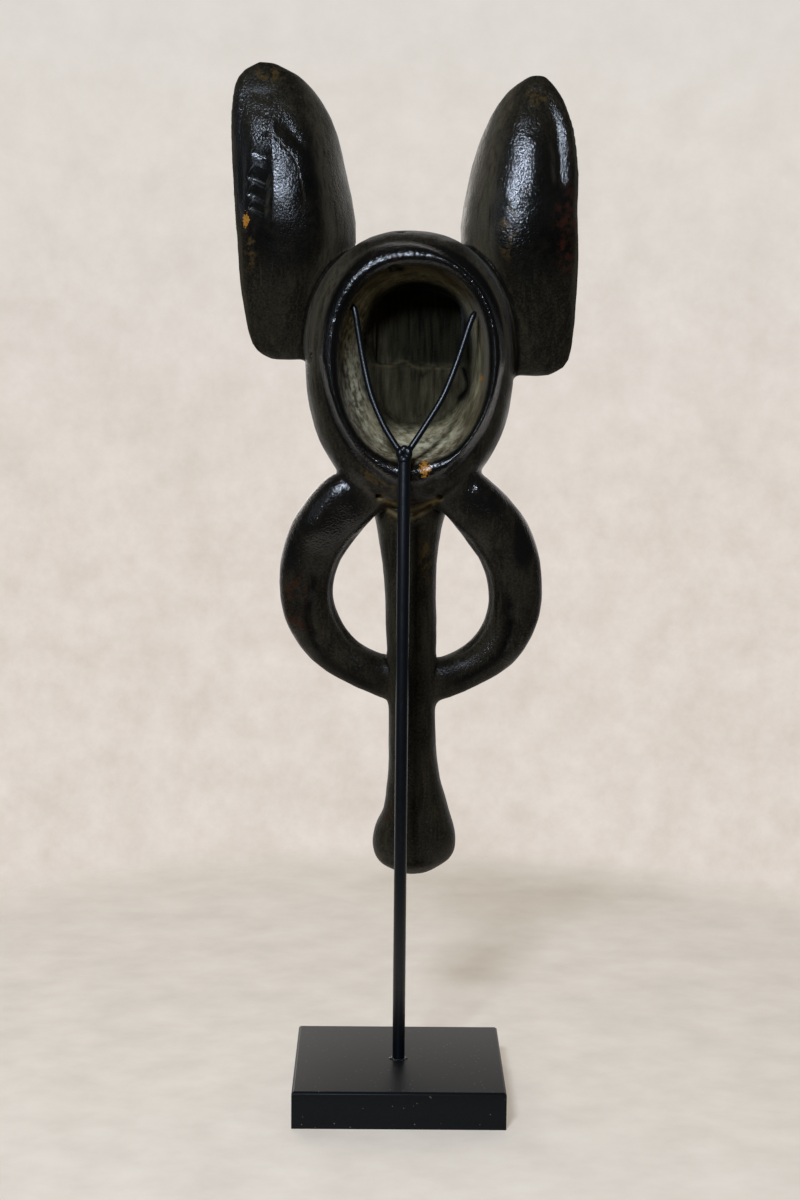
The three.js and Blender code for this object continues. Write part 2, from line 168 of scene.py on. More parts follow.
def besideLine(line, flat):
    # distance to the line, signed to its left, and how far along it lies, 0 to 1
    nearest = np.full(len(flat), np.inf)
    side = np.zeros(len(flat))
    along = np.zeros(len(flat))
    lengths = np.linalg.norm(np.diff(line, axis=0), axis=1)
    total = lengths.sum()
    before = 0.0
    for start, end, length in zip(line[:-1], line[1:], lengths):
        step = end - start
        t = np.clip((flat - start) @ step / max(length ** 2, 1e-9), 0, 1)
        off = flat - start - t[:, None] * step
        gap = np.hypot(off[:, 0], off[:, 1])
        closer = gap < nearest
        nearest[closer] = gap[closer]
        turn = step[0] * off[:, 1] - step[1] * off[:, 0]
        side[closer] = np.sign(turn[closer])
        along[closer] = (before + t[closer] * length) / total
        before += length
    return nearest * side, along


class Carving:
    # the mask's points in millimetres, with the cuts that a carver's tools make

    def __init__(self, piece):
        self.mesh = piece.data
        self.refresh()

    def refresh(self):
        self.points = readVectors(self.mesh, "co") / mm
        self.neighbours = neighboursOf(self.mesh)
        self.renormal()

    def renormal(self):
        writePoints(self.mesh, self.points * mm)
        self.normals = readVectors(self.mesh, "normal")
        self.soft = averaged(self.normals, self.neighbours, 6)
        self.soft /= np.maximum(np.linalg.norm(self.soft, axis=1, keepdims=True), 1e-6)

    def near(self, line, reach, depthRange):
        low, high = line.min(0) - reach, line.max(0) + reach
        p = self.points
        inside = (p[:, 0] > low[0]) & (p[:, 0] < high[0]) & (p[:, 2] > low[1]) & (p[:, 2] < high[1])
        inside &= self.soft[:, 1] > 0.02
        if depthRange:
            inside &= (p[:, 1] > depthRange[0]) & (p[:, 1] < depthRange[1])
        return np.nonzero(inside)[0]

    def stroke(self, path, width, depth, shape="groove", depthRange=None, fade=0.15, deepening=(1, 1)):
        # a cut along a path of (x, z) on the back of the mask; a depth below 0 raises the wood instead
        line = throughPoints(path)
        found = self.near(line, width * 1.6, depthRange)
        if not len(found):
            return
        across, along = besideLine(line, self.points[found][:, [0, 2]])
        u = across / width
        if shape == "groove":       # a gouge's round-bottomed cut
            cut = np.exp(-3 * u ** 2)
        elif shape == "step":       # like a shingle's edge: steep on the left of the path, a long slope on its right
            cut = np.where(u > 0, np.clip(1 - u / 0.34, 0, 1), np.clip(1 + u, 0, 1))
        elif shape == "facet":      # a plane that falls away to the right of the path
            cut = np.clip(-u, 0, 1) * (1 - smoothStep(1.0, 1.5, -u))
        ends = smoothStep(0, fade, along) * smoothStep(0, fade, 1 - along)
        facing = smoothStep(0, 0.4, self.soft[found, 1])
        depths = depth * (deepening[0] + (deepening[1] - deepening[0]) * along)
        self.points[found] -= self.soft[found] * (cut * ends * facing * depths)[:, None]

    def pit(self, x, z, radius, depth, depthRange=None):
        centre = np.array([[x, z]])
        found = self.near(centre, radius * 1.5, depthRange)
        gap = np.linalg.norm(self.points[found][:, [0, 2]] - centre, axis=1)
        cut = 1 - smoothStep(radius * 0.75, radius * 1.15, gap)
        self.points[found] -= self.soft[found] * (cut * depth)[:, None]


def hollowShare(points, grow=1.0):
    # below 1 inside the hollow's mouth, seen along Y
    mouth = hollowMouth
    x = np.abs(points[:, 0] - mouth["centre"][0]) / (mouth["half"] * grow)
    z = points[:, 2] - mouth["centre"][1]
    z = np.where(z > 0, z / mouth["up"], -z / mouth["down"]) / grow
    return (x ** mouth["power"] + z ** mouth["power"]) ** (1 / mouth["power"])


def boxShare(points, low, high, soft):
    # 1 inside a box given in mm, falling to 0 over a soft border
    share = np.ones(len(points))
    for axis in range(3):
        share *= smoothStep(low[axis] - soft, low[axis], points[:, axis])
        share *= 1 - smoothStep(high[axis], high[axis] + soft, points[:, axis])
    return share


def rounds(reach):
    # rounds of averaging that reach about so many millimetres
    return max(2, int(4 * (reach / maskForm["voxel"]) ** 2))


def smoothFacets(carving):
    # faces are averaged wide with the lost bulk put back, outer edges hardly at all, inner corners filled round
    start, around = carving.points, carving.neighbours
    turning = np.linalg.norm(averaged(carving.normals, around, 7), axis=1)
    calm = smoothStep(0.90, 0.975, averaged(turning, around, 4))
    hollowed = ((averaged(start, around, rounds(2.5)) - start) * carving.soft).sum(1)
    filled = smoothStep(0.12, 0.6, averaged(hollowed, around, 4))
    for low, high in maskForm["keepCorners"] + maskForm["rubOut"]:
        filled *= 1 - boxShare(start, low, high, 4)
    outside = hollowShare(start)
    sideOfHead = smoothStep(1.16, 1.24, outside) * (1 - smoothStep(1.5, 1.6, outside))
    calm = np.maximum(calm, sideOfHead * smoothStep(-42, -36, start[:, 1]))
    for low, high in maskForm["rubOut"]:
        calm = np.maximum(calm, boxShare(start, low, high, 3))
    wide = averaged(start, around, rounds(maskForm["facetSmoothing"]))
    lost = averaged(start - wide, around, rounds(maskForm["facetSmoothing"]))
    worn = averaged(start, around, rounds(maskForm["edgeRounding"]))
    filling = averaged(start, around, rounds(maskForm["cornerFilling"]))
    calm, filled = calm[:, None], averaged(filled, around, 6)[:, None]
    smooth = worn * (1 - calm) + (wide + lost) * calm
    blunt = sum(boxShare(start, low, high, 6) for low, high in maskForm["bluntTips"])[:, None]
    smooth = smooth * (1 - blunt) + (wide + 0.85 * lost) * blunt
    carving.points = smooth * (1 - filled) + filling * filled
    carving.renormal()


def planeSmooth(carving, low, high):
    # the plain notches of the node are planed off: the back there becomes one smooth cubic surface y(x, z)
    points = carving.points
    share = boxShare(points, low, high, 4) * smoothStep(0.35, 0.55, carving.soft[:, 1])
    found = np.nonzero(share > 0)[0]
    across = (points[found, 0] - (low[0] + high[0]) / 2) / 10
    along = (points[found, 2] - (low[2] + high[2]) / 2) / 40
    terms = np.stack([across ** i * along ** j for i in range(4) for j in range(5 - i)], axis=1)
    weights = np.linalg.lstsq(terms * share[found, None], points[found, 1] * share[found], rcond=None)[0]
    points[found, 1] += (terms @ weights - points[found, 1]) * share[found]
    carving.renormal()


mask = copyOfNode("elephant_mask", "carvedMask")
useModifier(mask, "REMESH", mode="VOXEL", voxel_size=maskForm["voxel"] * mm)
print("mask remeshed,", len(mask.data.vertices), "points")
carving = Carving(mask)
smoothFacets(carving)
planeSmooth(carving, *maskForm["planed"])
print("facets smoothed")


# Tool work, placed as seen from behind: x to the left of the photograph, z up, in mm

notches = {
    "slope": 0.5,
    "deepening": (0.6, 1.4),              # share of the depth at the left end and at the right end
    "ground": [(105, 722), (105, 692), (102, 660)],
    "places": [                           # x, z, length, height, depth: a column of seven and a short row
        (102, 713, 12, 6, 0.35), (102, 703, 12, 6, 0.35), (104, 690, 9, 5, 0.4), (103.5, 673, 12, 7, 0.9),
        (105.5, 656, 14, 9, 1.25), (105.5, 644, 14.5, 9, 1.25), (105.5, 634.8, 12, 7, 1.0),
        (84, 691, 8, 3.5, 0.3), (80, 686.5, 9, 3.5, 0.35), (76, 682, 8, 3.5, 0.3),
    ],
}
carving.stroke(notches["ground"], 22, -1.6, fade=0.4)
for x, z, length, height, depth in notches["places"]:
    half = length / 2
    path = [(x + half, z + half * notches["slope"]), (x - half, z - half * notches["slope"])]
    carving.stroke(path, height, depth, "step", fade=0.1, deepening=notches["deepening"])

incisedLines = {
    "width": 0.9,
    "depth": 0.28,
    "leftEar": [(117, 697), (103, 696), (97, 691), (88, 681), (80.5, 673), (76.5, 663), (72.5, 646), (72, 634)],
    "leftEarShort": [(109, 672), (101, 670)],
}
for line in ("leftEar", "leftEarShort"):
    carving.stroke(incisedLines[line], incisedLines["width"], incisedLines["depth"])

# The ears' relief, in the order in which it is cut: path, width, depth, and the share of its length that fades
earRelief = {
    "rightValley": ([(-93, 724), (-100, 710), (-105, 698), (-106.5, 684), (-108, 664), (-109, 640)], 8, 1.8, 0.3),
    "rightStrip": ([(-109, 716), (-115, 701), (-118.5, 683), (-120.5, 660), (-121.5, 640)], 13, -1.9, 0.35),
    "rightRidge": ([(-91, 696), (-91, 670), (-90, 644)], 14, -0.8, 0.35),
    "gougeAtTip": ([(-82, 715), (-90, 721), (-98, 719)], 3.5, 0.6, 0.35),
    "gougeBelow": ([(-84, 705), (-94, 709), (-101, 705)], 3.5, 0.6, 0.35),
    "gougeInside": ([(-70, 706), (-75, 715)], 3.5, 0.6, 0.35),
    "leftBorder": ([(116, 716), (116, 700), (116, 672), (115.5, 645), (114, 622)], 6, 0.5, 0.3),
    "rightCrescent": ([(-69, 662), (-70, 650), (-74, 641.5), (-81.5, 638)], 5, -0.3, 0.35),
}
for path, width, depth, fade in earRelief.values():
    carving.stroke(path, width, depth, fade=fade)

rimCrease = {
    "over": [
        (61, 512), (62.5, 531), (62, 549), (58, 569), (52, 587), (42, 600), (29, 609.5), (15, 614.5), (4, 615.5),
        (-10, 614.5), (-26, 608), (-41, 597.5), (-56, 583), (-65, 564), (-71, 542), (-72, 518),
    ],
    "left": [(60, 535), (58, 512), (50, 486), (38, 467), (28, 455), (13, 445), (4, 441)],
    "right": [(-70, 540), (-69, 515), (-64, 491), (-56, 474), (-43, 459), (-26, 445), (-16, 440)],
}
carving.stroke(rimCrease["over"], 4.5, 1.8, fade=0.12)
carving.stroke(rimCrease["left"], 6, 1.3, fade=0.2)
carving.stroke(rimCrease["right"], 6, 1.3, fade=0.2)

# A row of short cuts across the top of the rim's roll, fanned about the hollow's middle
rimCuts = {
    "count": 11, "turns": (0.48, -0.12), "unevenTurn": 0.015, "reach": (69.5, 77), "flatten": 0.86,
    "width": 1.3, "depth": 0.35,
}
middleX, middleZ = hollowMouth["centre"]
for turn in np.linspace(*rimCuts["turns"], rimCuts["count"]):
    turn += random.uniform(-rimCuts["unevenTurn"], rimCuts["unevenTurn"])
    ends = [
        (middleX + reach * rimCuts["flatten"] * math.sin(turn), middleZ + reach * math.cos(turn))
        for reach in rimCuts["reach"]
    ]
    carving.stroke(ends, rimCuts["width"], rimCuts["depth"], fade=0.3)

tuskCreases = {
    "width": 7,
    "depth": 2.4,
    "paths": [
        [(66, 366), (67, 350), (66, 338), (60, 319)],
        [(-81, 352), (-80, 342), (-78, 330), (-72, 313)],
    ],
}
for path in tuskCreases["paths"]:
    carving.stroke(path, tuskCreases["width"], tuskCreases["depth"], fade=0.3)

# The tusks' inner sides are planed flat behind, up to a ridge
tuskRidges = {
    "left": [(36, 424), (48, 408), (57, 389), (64, 368), (64.5, 350), (59, 327), (46, 306), (34, 297)],
    "right": [(-46, 424), (-58, 408), (-68, 388), (-75, 366), (-75.5, 349), (-70, 325), (-57, 303), (-45, 294)],
}
carving.stroke(tuskRidges["left"], 18, 2.4, "facet", fade=0.2)
carving.stroke(tuskRidges["right"][::-1], 18, 2.4, "facet", fade=0.2)

# Their upper arms swell out behind, so their tops catch the light
tuskSwells = {
    "left": [(28, 452), (41, 445), (53, 433), (62, 418), (68, 400), (70, 386)],
    "right": [(-44, 450), (-58, 436), (-72, 420)],
}
carving.stroke(tuskSwells["left"], 23, -5.5, fade=0.35)
carving.stroke(tuskSwells["right"], 16, -2.5, fade=0.4)

# The chin: a blunt wedge whose two facets meet under the rod
chinRidge = [(-6, 462), (-6, 452), (-5, 440), (-5, 433)]
carving.stroke(chinRidge, 16, 1.8, "facet", fade=0.3)

# In the hollow: the valley between the floor's two lobes, a drying crack, and gouge marks down the recess
hollowCuts = {
    "depths": (-90, -30),
    "valley": [(-13, 522), (-12, 504), (-10, 487)],
    "crack": [(-42, 524), (-45, 516), (-43.5, 505)],
}
carving.stroke(hollowCuts["valley"], 5, 2.8, depthRange=hollowCuts["depths"])
carving.stroke(hollowCuts["crack"], 1.8, 5.5, depthRange=hollowCuts["depths"], fade=0.35)
gougeMarks = {
    "count": 15, "x": (-38, 20), "top": (560, 579), "bottom": (529, 545), "sway": (-0.8, 0.8),
    "width": (1.6, 3.4), "depth": (0.25, 0.8), "depths": (-95, -60),
}
for mark in range(gougeMarks["count"]):
    x, top, bottom, sway = (random.uniform(*gougeMarks[name]) for name in ("x", "top", "bottom", "sway"))
    carving.stroke(
        [(x, top), (x + sway, (top + bottom) / 2), (x, bottom)],
        random.uniform(*gougeMarks["width"]), random.uniform(*gougeMarks["depth"]),
        depthRange=gougeMarks["depths"], fade=0.3,
    )

# A worm hole, the ends of the tie hole, and a small swirl of cuts on the rim
wormHole = (8, 594)
tieHoleEnds = [(18, 433), (-26, 433)]
swirl = {"middle": (49, 557), "radii": (3, 5.2), "turns": np.linspace(0.6, 2.6, 6)}
carving.pit(*wormHole, 3, 4, depthRange=(-20, 0))
for x, z in tieHoleEnds:
    carving.pit(x, z, 2.2, 4, depthRange=(-40, -15))
for radius in swirl["radii"]:
    x, z = swirl["middle"]
    arc = [(x + radius * math.cos(turn), z + radius * math.sin(turn)) for turn in swirl["turns"]]
    carving.stroke(arc, 1, 0.35)
carving.renormal()

# Hand-carved unevenness: long soft swells and short flat touches of the knife
for name, size, strength in (("swells", 26, 0.9), ("knifeTouches", 7, 0.28)):
    clouds = bpy.data.textures.new(name, "CLOUDS")
    clouds.noise_scale = size * mm
    clouds.noise_depth = 1
    useModifier(mask, "DISPLACE", texture=clouds, texture_coords="LOCAL", strength=strength * mm, mid_level=0.5)
carving.refresh()
print("tool work cut")


# What the surface has been through, and where shade, highlight, sheen and light are painted, kept on the points for
# the wood's material

def keepOnPoints(mesh, name, values):
    layer = mesh.attributes.new(name, "FLOAT", "POINT")
    layer.data.foreach_set("value", values.astype(np.float32))


def spots(points, normals, places):
    # how near each point is to the middle of the nearest of the ovals, 1 at the middle and 0 at the rim
    found = np.zeros(len(points))
    for x, z, halfWide, halfHigh in places:
        gap = np.hypot((points[:, 0] - x) / halfWide, (points[:, 2] - z) / halfHigh)
        found = np.maximum(found, np.clip(1 - gap, 0, 1) * (normals[:, 1] > -0.2))
    return found


surfaceMarks = {
    # x, z, half width and half height of ovals, in mm, as seen from behind
    "polishedSpots": [
        (88, 646, 66, 78), (122, 660, 20, 80), (-94, 640, 54, 84), (56, 424, 44, 46), (82, 398, 16, 30),
        (-60, 436, 28, 28), (-88, 402, 14, 34), (-3, 290, 9, 120),
    ],
    "dullSpots": [(-10, 180, 50, 44), (0, 350, 30, 60), (38, 300, 34, 22), (-50, 298, 34, 22), (-8, 445, 40, 16)],
    # and how much of the wax is gone
    "thinWax": [
        (94, 676, 40, 90, 0.52), (84, 594, 62, 60, 0.97), (98, 736, 50, 26, 0.8), (-84, 728, 32, 44, 0.85),
        (71, 636, 16, 36, 0.92), (96.5, 628, 6, 30, 0.85), (-96, 590, 50, 50, 0.9), (0, 300, 80, 60, 0.6),
    ],
    "bare": [(113.8, 628, 3.3, 9), (-14.5, 455, 6, 9), (-55, 518, 2.6, 2.6)],
    "ochre": [
        (14, 454, 24, 30), (-18, 392, 8, 30), (112, 608, 8, 20), (0, 424, 26, 14), (-15, 452, 14, 14),
        (14, 466, 12, 16), (-92, 717, 11, 9), (98, 731, 14, 7), (-72, 622, 9, 26),
    ],
    "red": [
        (28, 592, 5, 5), (8, 603, 22, 7), (24, 465, 6, 8), (-114, 624, 12, 42), (79, 350, 14, 34), (9, 197, 9, 9),
    ],
    # lines painted pale along the cuts' edges: worn pale wood on the throat's two arcs, painted highlight on the
    # incised line and the hollow's ledge; path, half width and strength
    "paleWearAndHighlights": [
        ([(17, 431.5), (6, 427), (-5, 421.5), (-15, 425.5), (-26, 432)], 1.9, 0.95),
        ([(11, 422.5), (3, 418), (-5, 416.5), (-14, 421), (-22.5, 428)], 1.5, 0.8),
        (incisedLines["leftEar"], 0.5, 0.10),
        ([(27, 526), (10, 525), (1, 529), (-9, 524), (-22, 524), (-36, 525)], 1.0, 0.14),
    ],
    # and lines painted dark as shade falls in them: the hollow's crescent, edges and cracks, the worm hole, the
    # tusks' creases and ends
    "paintedShadeLines": [
        ([(-43, 524), (-46, 515), (-45, 508), (-40.5, 502.5)], 2.5, 1.0),
        ([(-20, 576), (-37, 571), (-48, 557)], 0.9, 0.5),
        ([(23, 556), (23, 540), (21, 529.5), (17, 526.4)], 0.8, 0.7),
        ([(-13, 517.7), (-23.6, 525), (-38, 525)], 0.8, 0.5),
        ([(45, 529), (41, 511), (32.5, 487), (25.5, 476), (9, 466)], 0.9, 0.55),
        ([(-51, 554), (-55, 536), (-54.5, 522)], 0.9, 0.4),
        ([(3, 594.3), (6.5, 594.8), (10, 594.3)], 1.8, 1.0),
        ([(64, 372), (67.6, 358), (69.5, 343), (65, 327), (56.5, 312), (40, 300), (22, 292)], 3.4, 0.75),
        ([(-76.7, 356), (-78, 340), (-75.5, 326), (-70, 314), (-57.5, 304), (-39.5, 294)], 3.6, 0.8),
        ([(22, 308), (16, 296)], 6.5, 0.6),
        ([(-30, 309), (-36, 296)], 7.0, 0.6),
    ],
}


def nearLines(points, normals, lines):
    found = np.zeros(len(points))
    facing = normals[:, 1] > 0
    for path, halfWide, strength in lines:
        gap = np.full(len(points), np.inf)
        gap[facing] = np.abs(besideLine(throughPoints(path), points[facing][:, [0, 2]])[0])
        found = np.maximum(found, strength * np.exp(-(gap / halfWide) ** 2))
    return found


def surfaceWearAndPaintedLight(carving):
    points, around, soft = carving.points, carving.neighbours, carving.soft
    fineBulge = ((points - averaged(points, around, rounds(2.2))) * soft).sum(1)
    wideBulge = ((points - averaged(points, around, rounds(7.0))) * soft).sum(1)
    inside = hollowShare(points)
    depth = points[:, 1]
    hollow = (1 - smoothStep(0.94, 1.0, inside)) * smoothStep(-93, -89, depth) * (1 - smoothStep(-11, -7, depth))
    roll = smoothStep(0.95, 1.0, inside) * (1 - smoothStep(1.14, 1.26, inside)) * smoothStep(-20, -12, depth)
    floor = 1 - smoothStep(0, 1, (depth + 66) / (14 + 16 * smoothStep(540, 575, points[:, 2])))
    recess = smoothStep(524, 529, points[:, 2])
    grey = 0.09 * recess * smoothStep(-8, 16, points[:, 0])
    grey += 0.05 * (1 - recess) * smoothStep(-12, -16, points[:, 0])
    polished = smoothStep(0.0, 0.75, spots(points, soft, surfaceMarks["polishedSpots"]))
    dulled = smoothStep(0.0, 0.6, spots(points, soft, surfaceMarks["dullSpots"]))
    sheltered = smoothStep(0.1, 1.2, -fineBulge - 0.5 * wideBulge)
    # painted sheen: surfaces facing sideways, where the surroundings' light would glance off, are picked out to be
    # paled
    sideSheen = smoothStep(0.3, 0.85, np.abs(soft[:, 0])) * (1 - roll)
    onTusks = smoothStep(26, 34, np.abs(points[:, 0] + 6)) * (1 - smoothStep(440, 465, points[:, 2]))
    wax = np.ones(len(points))
    for *oval, gone in surfaceMarks["thinWax"]:
        wax = np.minimum(wax, 1 - gone * smoothStep(0.0, 0.5, spots(points, soft, [oval])))
    return {
        "worn": smoothStep(0.15, 0.7, fineBulge + 0.25 * wideBulge),
        "sheltered": sheltered,
        "hollow": hollow,
        # the hollow darker the deeper it lies, and painted shade along the top of its wall under the rim
        "hollowDarkening": np.maximum(floor * (0.9 + 0.1 * recess - grey), 0.5 * smoothStep(582, 600, points[:, 2])),
        # painted light: the hollow's left wall and its lowest part are paled where light falls on them
        "paintedLitWalls": np.maximum(
            smoothStep(18, 34, points[:, 0]) * (1 - smoothStep(560, 590, points[:, 2])),
            0.8 - 0.8 * smoothStep(468, 490, points[:, 2]),
        ),
        "lip": smoothStep(0.88, 0.94, inside) * (1 - smoothStep(0.965, 1.0, inside)),
        "sideSheen": sideSheen * (0.35 + 0.65 * smoothStep(430, 620, points[:, 2])) * (1 - onTusks),
        "paleWearAndHighlights": nearLines(points, soft, surfaceMarks["paleWearAndHighlights"]),
        "paintedShadeLines": nearLines(points, soft, surfaceMarks["paintedShadeLines"]),
        "notched": spots(points, soft, [(106, 648, 20, 48)]),
        "handled": roll,
        "waxed": wax,
        "polished": np.maximum(polished, 1.4 * roll) - 0.5 * sheltered - 0.8 * dulled,
        **{name: spots(points, soft, surfaceMarks[name]) for name in ("bare", "ochre", "red")},
    }


wearAndPaintedLight = surfaceWearAndPaintedLight(carving)
for name, values in wearAndPaintedLight.items():
    keepOnPoints(mask.data, name, values)

triangles = sum(len(face.vertices) - 2 for face in mask.data.polygons)
useModifier(mask, "DECIMATE", decimate_type="COLLAPSE", ratio=maskForm["triangles"] / triangles)
pick(mask)
bpy.ops.object.shade_smooth()
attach(mask, "root")
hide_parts("elephant_mask")
print("mask done,", sum(len(face.vertices) - 2 for face in mask.data.polygons), "triangles")


# The fork: two wires welded side by side on the rod's end. The routes are the steel's own, in mm

fork = {
    "wire": 2.35,                         # mm, of which the smoothing takes 0.2 off
    "left": [
        (2.4, 0, 460.8), (2.8, -0.2, 467), (6.6, -1.5, 472.5), (14.9, -5, 486), (23.8, -10, 507),
        (29.4, -15, 530), (33.2, -18.5, 551), (35.0, -20, 562), (36.6, -21.2, 567.4), (39.8, -22.4, 569),
    ],
    "right": [
        (-2.4, 0, 460.8), (-2.8, -0.2, 467), (-5.6, -1.5, 471.8), (-14.6, -5, 485.5), (-27, -10, 506),
        (-36, -15, 528), (-42.2, -18.5, 546.5), (-45.8, -20.5, 557.5), (-49.2, -22.4, 565.5),
    ],
    "weldLumps": [
        (0, 0.2, 461.5, 4.9, 4.6, 4.4), (3.0, 0.6, 466, 3.0, 3.2, 4.6), (-2.9, 0.5, 466.3, 2.9, 3.1, 4.8),
        (0.1, 0.4, 469, 2.8, 2.6, 3.4),
    ],
    "voxel": 0.5,
}


def wireMesh(name, route, radius):
    curve = bpy.data.curves.new(name, "CURVE")
    curve.dimensions = "3D"
    curve.bevel_depth = radius * mm
    curve.bevel_resolution = 5
    curve.use_fill_caps = True
    line = throughPoints(route, 8)
    spline = curve.splines.new("POLY")
    spline.points.add(len(line) - 1)
    for i, (point, place) in enumerate(zip(spline.points, line)):
        point.co = (*(place * mm), 1)
        fromTip = (len(line) - 1 - i) / 3
        point.radius = min(1, 0.62 + 0.38 * fromTip)
    piece = bpy.data.objects.new(name, curve)
    bpy.context.scene.collection.objects.link(piece)
    pick(piece)
    bpy.ops.object.convert(target="MESH")
    return bpy.context.active_object


steelFork = wireMesh("steelFork", fork["left"], fork["wire"])
others = [wireMesh("wire", fork["right"], fork["wire"])]
for x, y, z, halfX, halfY, halfZ in fork["weldLumps"]:
    bpy.ops.mesh.primitive_ico_sphere_add(subdivisions=3, radius=1, location=(x * mm, y * mm, z * mm))
    lump = bpy.context.active_object
    lump.scale = (halfX * mm, halfY * mm, halfZ * mm)
    settle(lump)
    others.append(lump)
pick(steelFork)
for other in others:
    other.select_set(True)
bpy.ops.object.join()
useModifier(steelFork, "REMESH", mode="VOXEL", voxel_size=fork["voxel"] * mm)
useModifier(steelFork, "SMOOTH", factor=0.5, iterations=7)
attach(steelFork, "root")
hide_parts("fork_prong_left", "fork_prong_right")

rodLow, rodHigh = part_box("support_rod")
rod = {"radius": (rodHigh.x - rodLow.x) / 2, "sides": 40, "chamfer": 0.6}
bpy.ops.mesh.primitive_cylinder_add(
    vertices=rod["sides"], radius=rod["radius"], depth=rodHigh.z - rodLow.z,
    location=(0, 0, (rodHigh.z + rodLow.z) / 2),
)
steelRod = bpy.context.active_object
steelRod.name = "steelRod"
settle(steelRod)
useModifier(steelRod, "BEVEL", width=rod["chamfer"] * mm, segments=3, limit_method="ANGLE",
            angle_limit=math.radians(60))
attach(steelRod, "root")
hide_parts("support_rod")
print("steel done")


# The base: a square board with planed arrises and the rod's foot glued in

baseLow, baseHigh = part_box("base_block")
board = {"chamfer": 1.5, "soften": 0.45}  # mm
bpy.ops.mesh.primitive_cube_add(size=1, location=(0, 0, (baseLow.z + baseHigh.z) / 2))
baseBoard = bpy.context.active_object
baseBoard.name = "baseBoard"
baseBoard.scale = (baseHigh.x - baseLow.x, baseHigh.y - baseLow.y, baseHigh.z - baseLow.z)
settle(baseBoard)
bpy.ops.object.mode_set(mode="EDIT")
bpy.ops.mesh.select_all(action="DESELECT")
bpy.ops.object.mode_set(mode="OBJECT")
for edge in baseBoard.data.edges:
    ends = [baseBoard.data.vertices[i].co.z for i in edge.vertices]
    edge.select = min(ends) > baseHigh.z - 0.1 * mm
bpy.ops.object.mode_set(mode="EDIT")
bpy.ops.mesh.select_mode(type="EDGE")
bpy.ops.mesh.bevel(offset=board["chamfer"] * mm, segments=1)
bpy.ops.object.mode_set(mode="OBJECT")
useModifier(baseBoard, "BEVEL", width=board["soften"] * mm, segments=3, limit_method="ANGLE",
            angle_limit=math.radians(20))
pick(baseBoard)
bpy.ops.object.shade_smooth_by_angle(angle=math.radians(35))
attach(baseBoard, "root")
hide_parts("base_block")

footRing = {"radius": 5.3, "thickness": 1.0, "flatten": 0.7}
bpy.ops.mesh.primitive_torus_add(
    major_radius=footRing["radius"] * mm, minor_radius=footRing["thickness"] * mm,
    major_segments=48, minor_segments=10, location=(0, 0, baseHigh.z),
)
rodFoot = bpy.context.active_object
rodFoot.name = "rodFootGlue"
settle(rodFoot)
for vertex in rodFoot.data.vertices:
    around = math.atan2(vertex.co.y, vertex.co.x)
    ragged = 1 + 0.12 * math.sin(3 * around + 0.6) + 0.09 * math.sin(7 * around) + 0.06 * math.sin(13 * around + 2)
    out = math.hypot(vertex.co.x, vertex.co.y) - rod["radius"]
    share = (rod["radius"] + out * ragged ** 3) / max(math.hypot(vertex.co.x, vertex.co.y), 1e-6)
    vertex.co.x *= share
    vertex.co.y *= share
    vertex.co.z = baseHigh.z + (vertex.co.z - baseHigh.z) * footRing["flatten"] * ragged
useModifier(rodFoot, "SUBSURF", levels=1, render_levels=1)
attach(rodFoot, "root")
for piece in (steelFork, steelRod, rodFoot):
    pick(piece)
    bpy.ops.object.shade_smooth_by_angle(angle=math.radians(50))
print("base done")


# Materials

def colour(hexText):
    # sRGB hex to the linear value that the shader wants
    channels = [int(hexText[i:i + 2], 16) / 255 for i in (1, 3, 5)]
    linear = [c / 12.92 if c <= 0.04045 else ((c + 0.055) / 1.055) ** 2.4 for c in channels]
    return (*linear, 1)


def addNode(tree, kind, settings=None, links=None):
    node = tree.nodes.new(kind)
    for name, value in (settings or {}).items():
        if isinstance(name, int) or name not in node.bl_rna.properties:
            node.inputs[name].default_value = value
        else:
            setattr(node, name, value)
    for name, socket in (links or {}).items():
        tree.links.new(socket, node.inputs[name])
    return node


def newMaterial(name):
    material = bpy.data.materials.new(name)
    material.use_nodes = True
    material.node_tree.nodes.clear()
    return material, material.node_tree


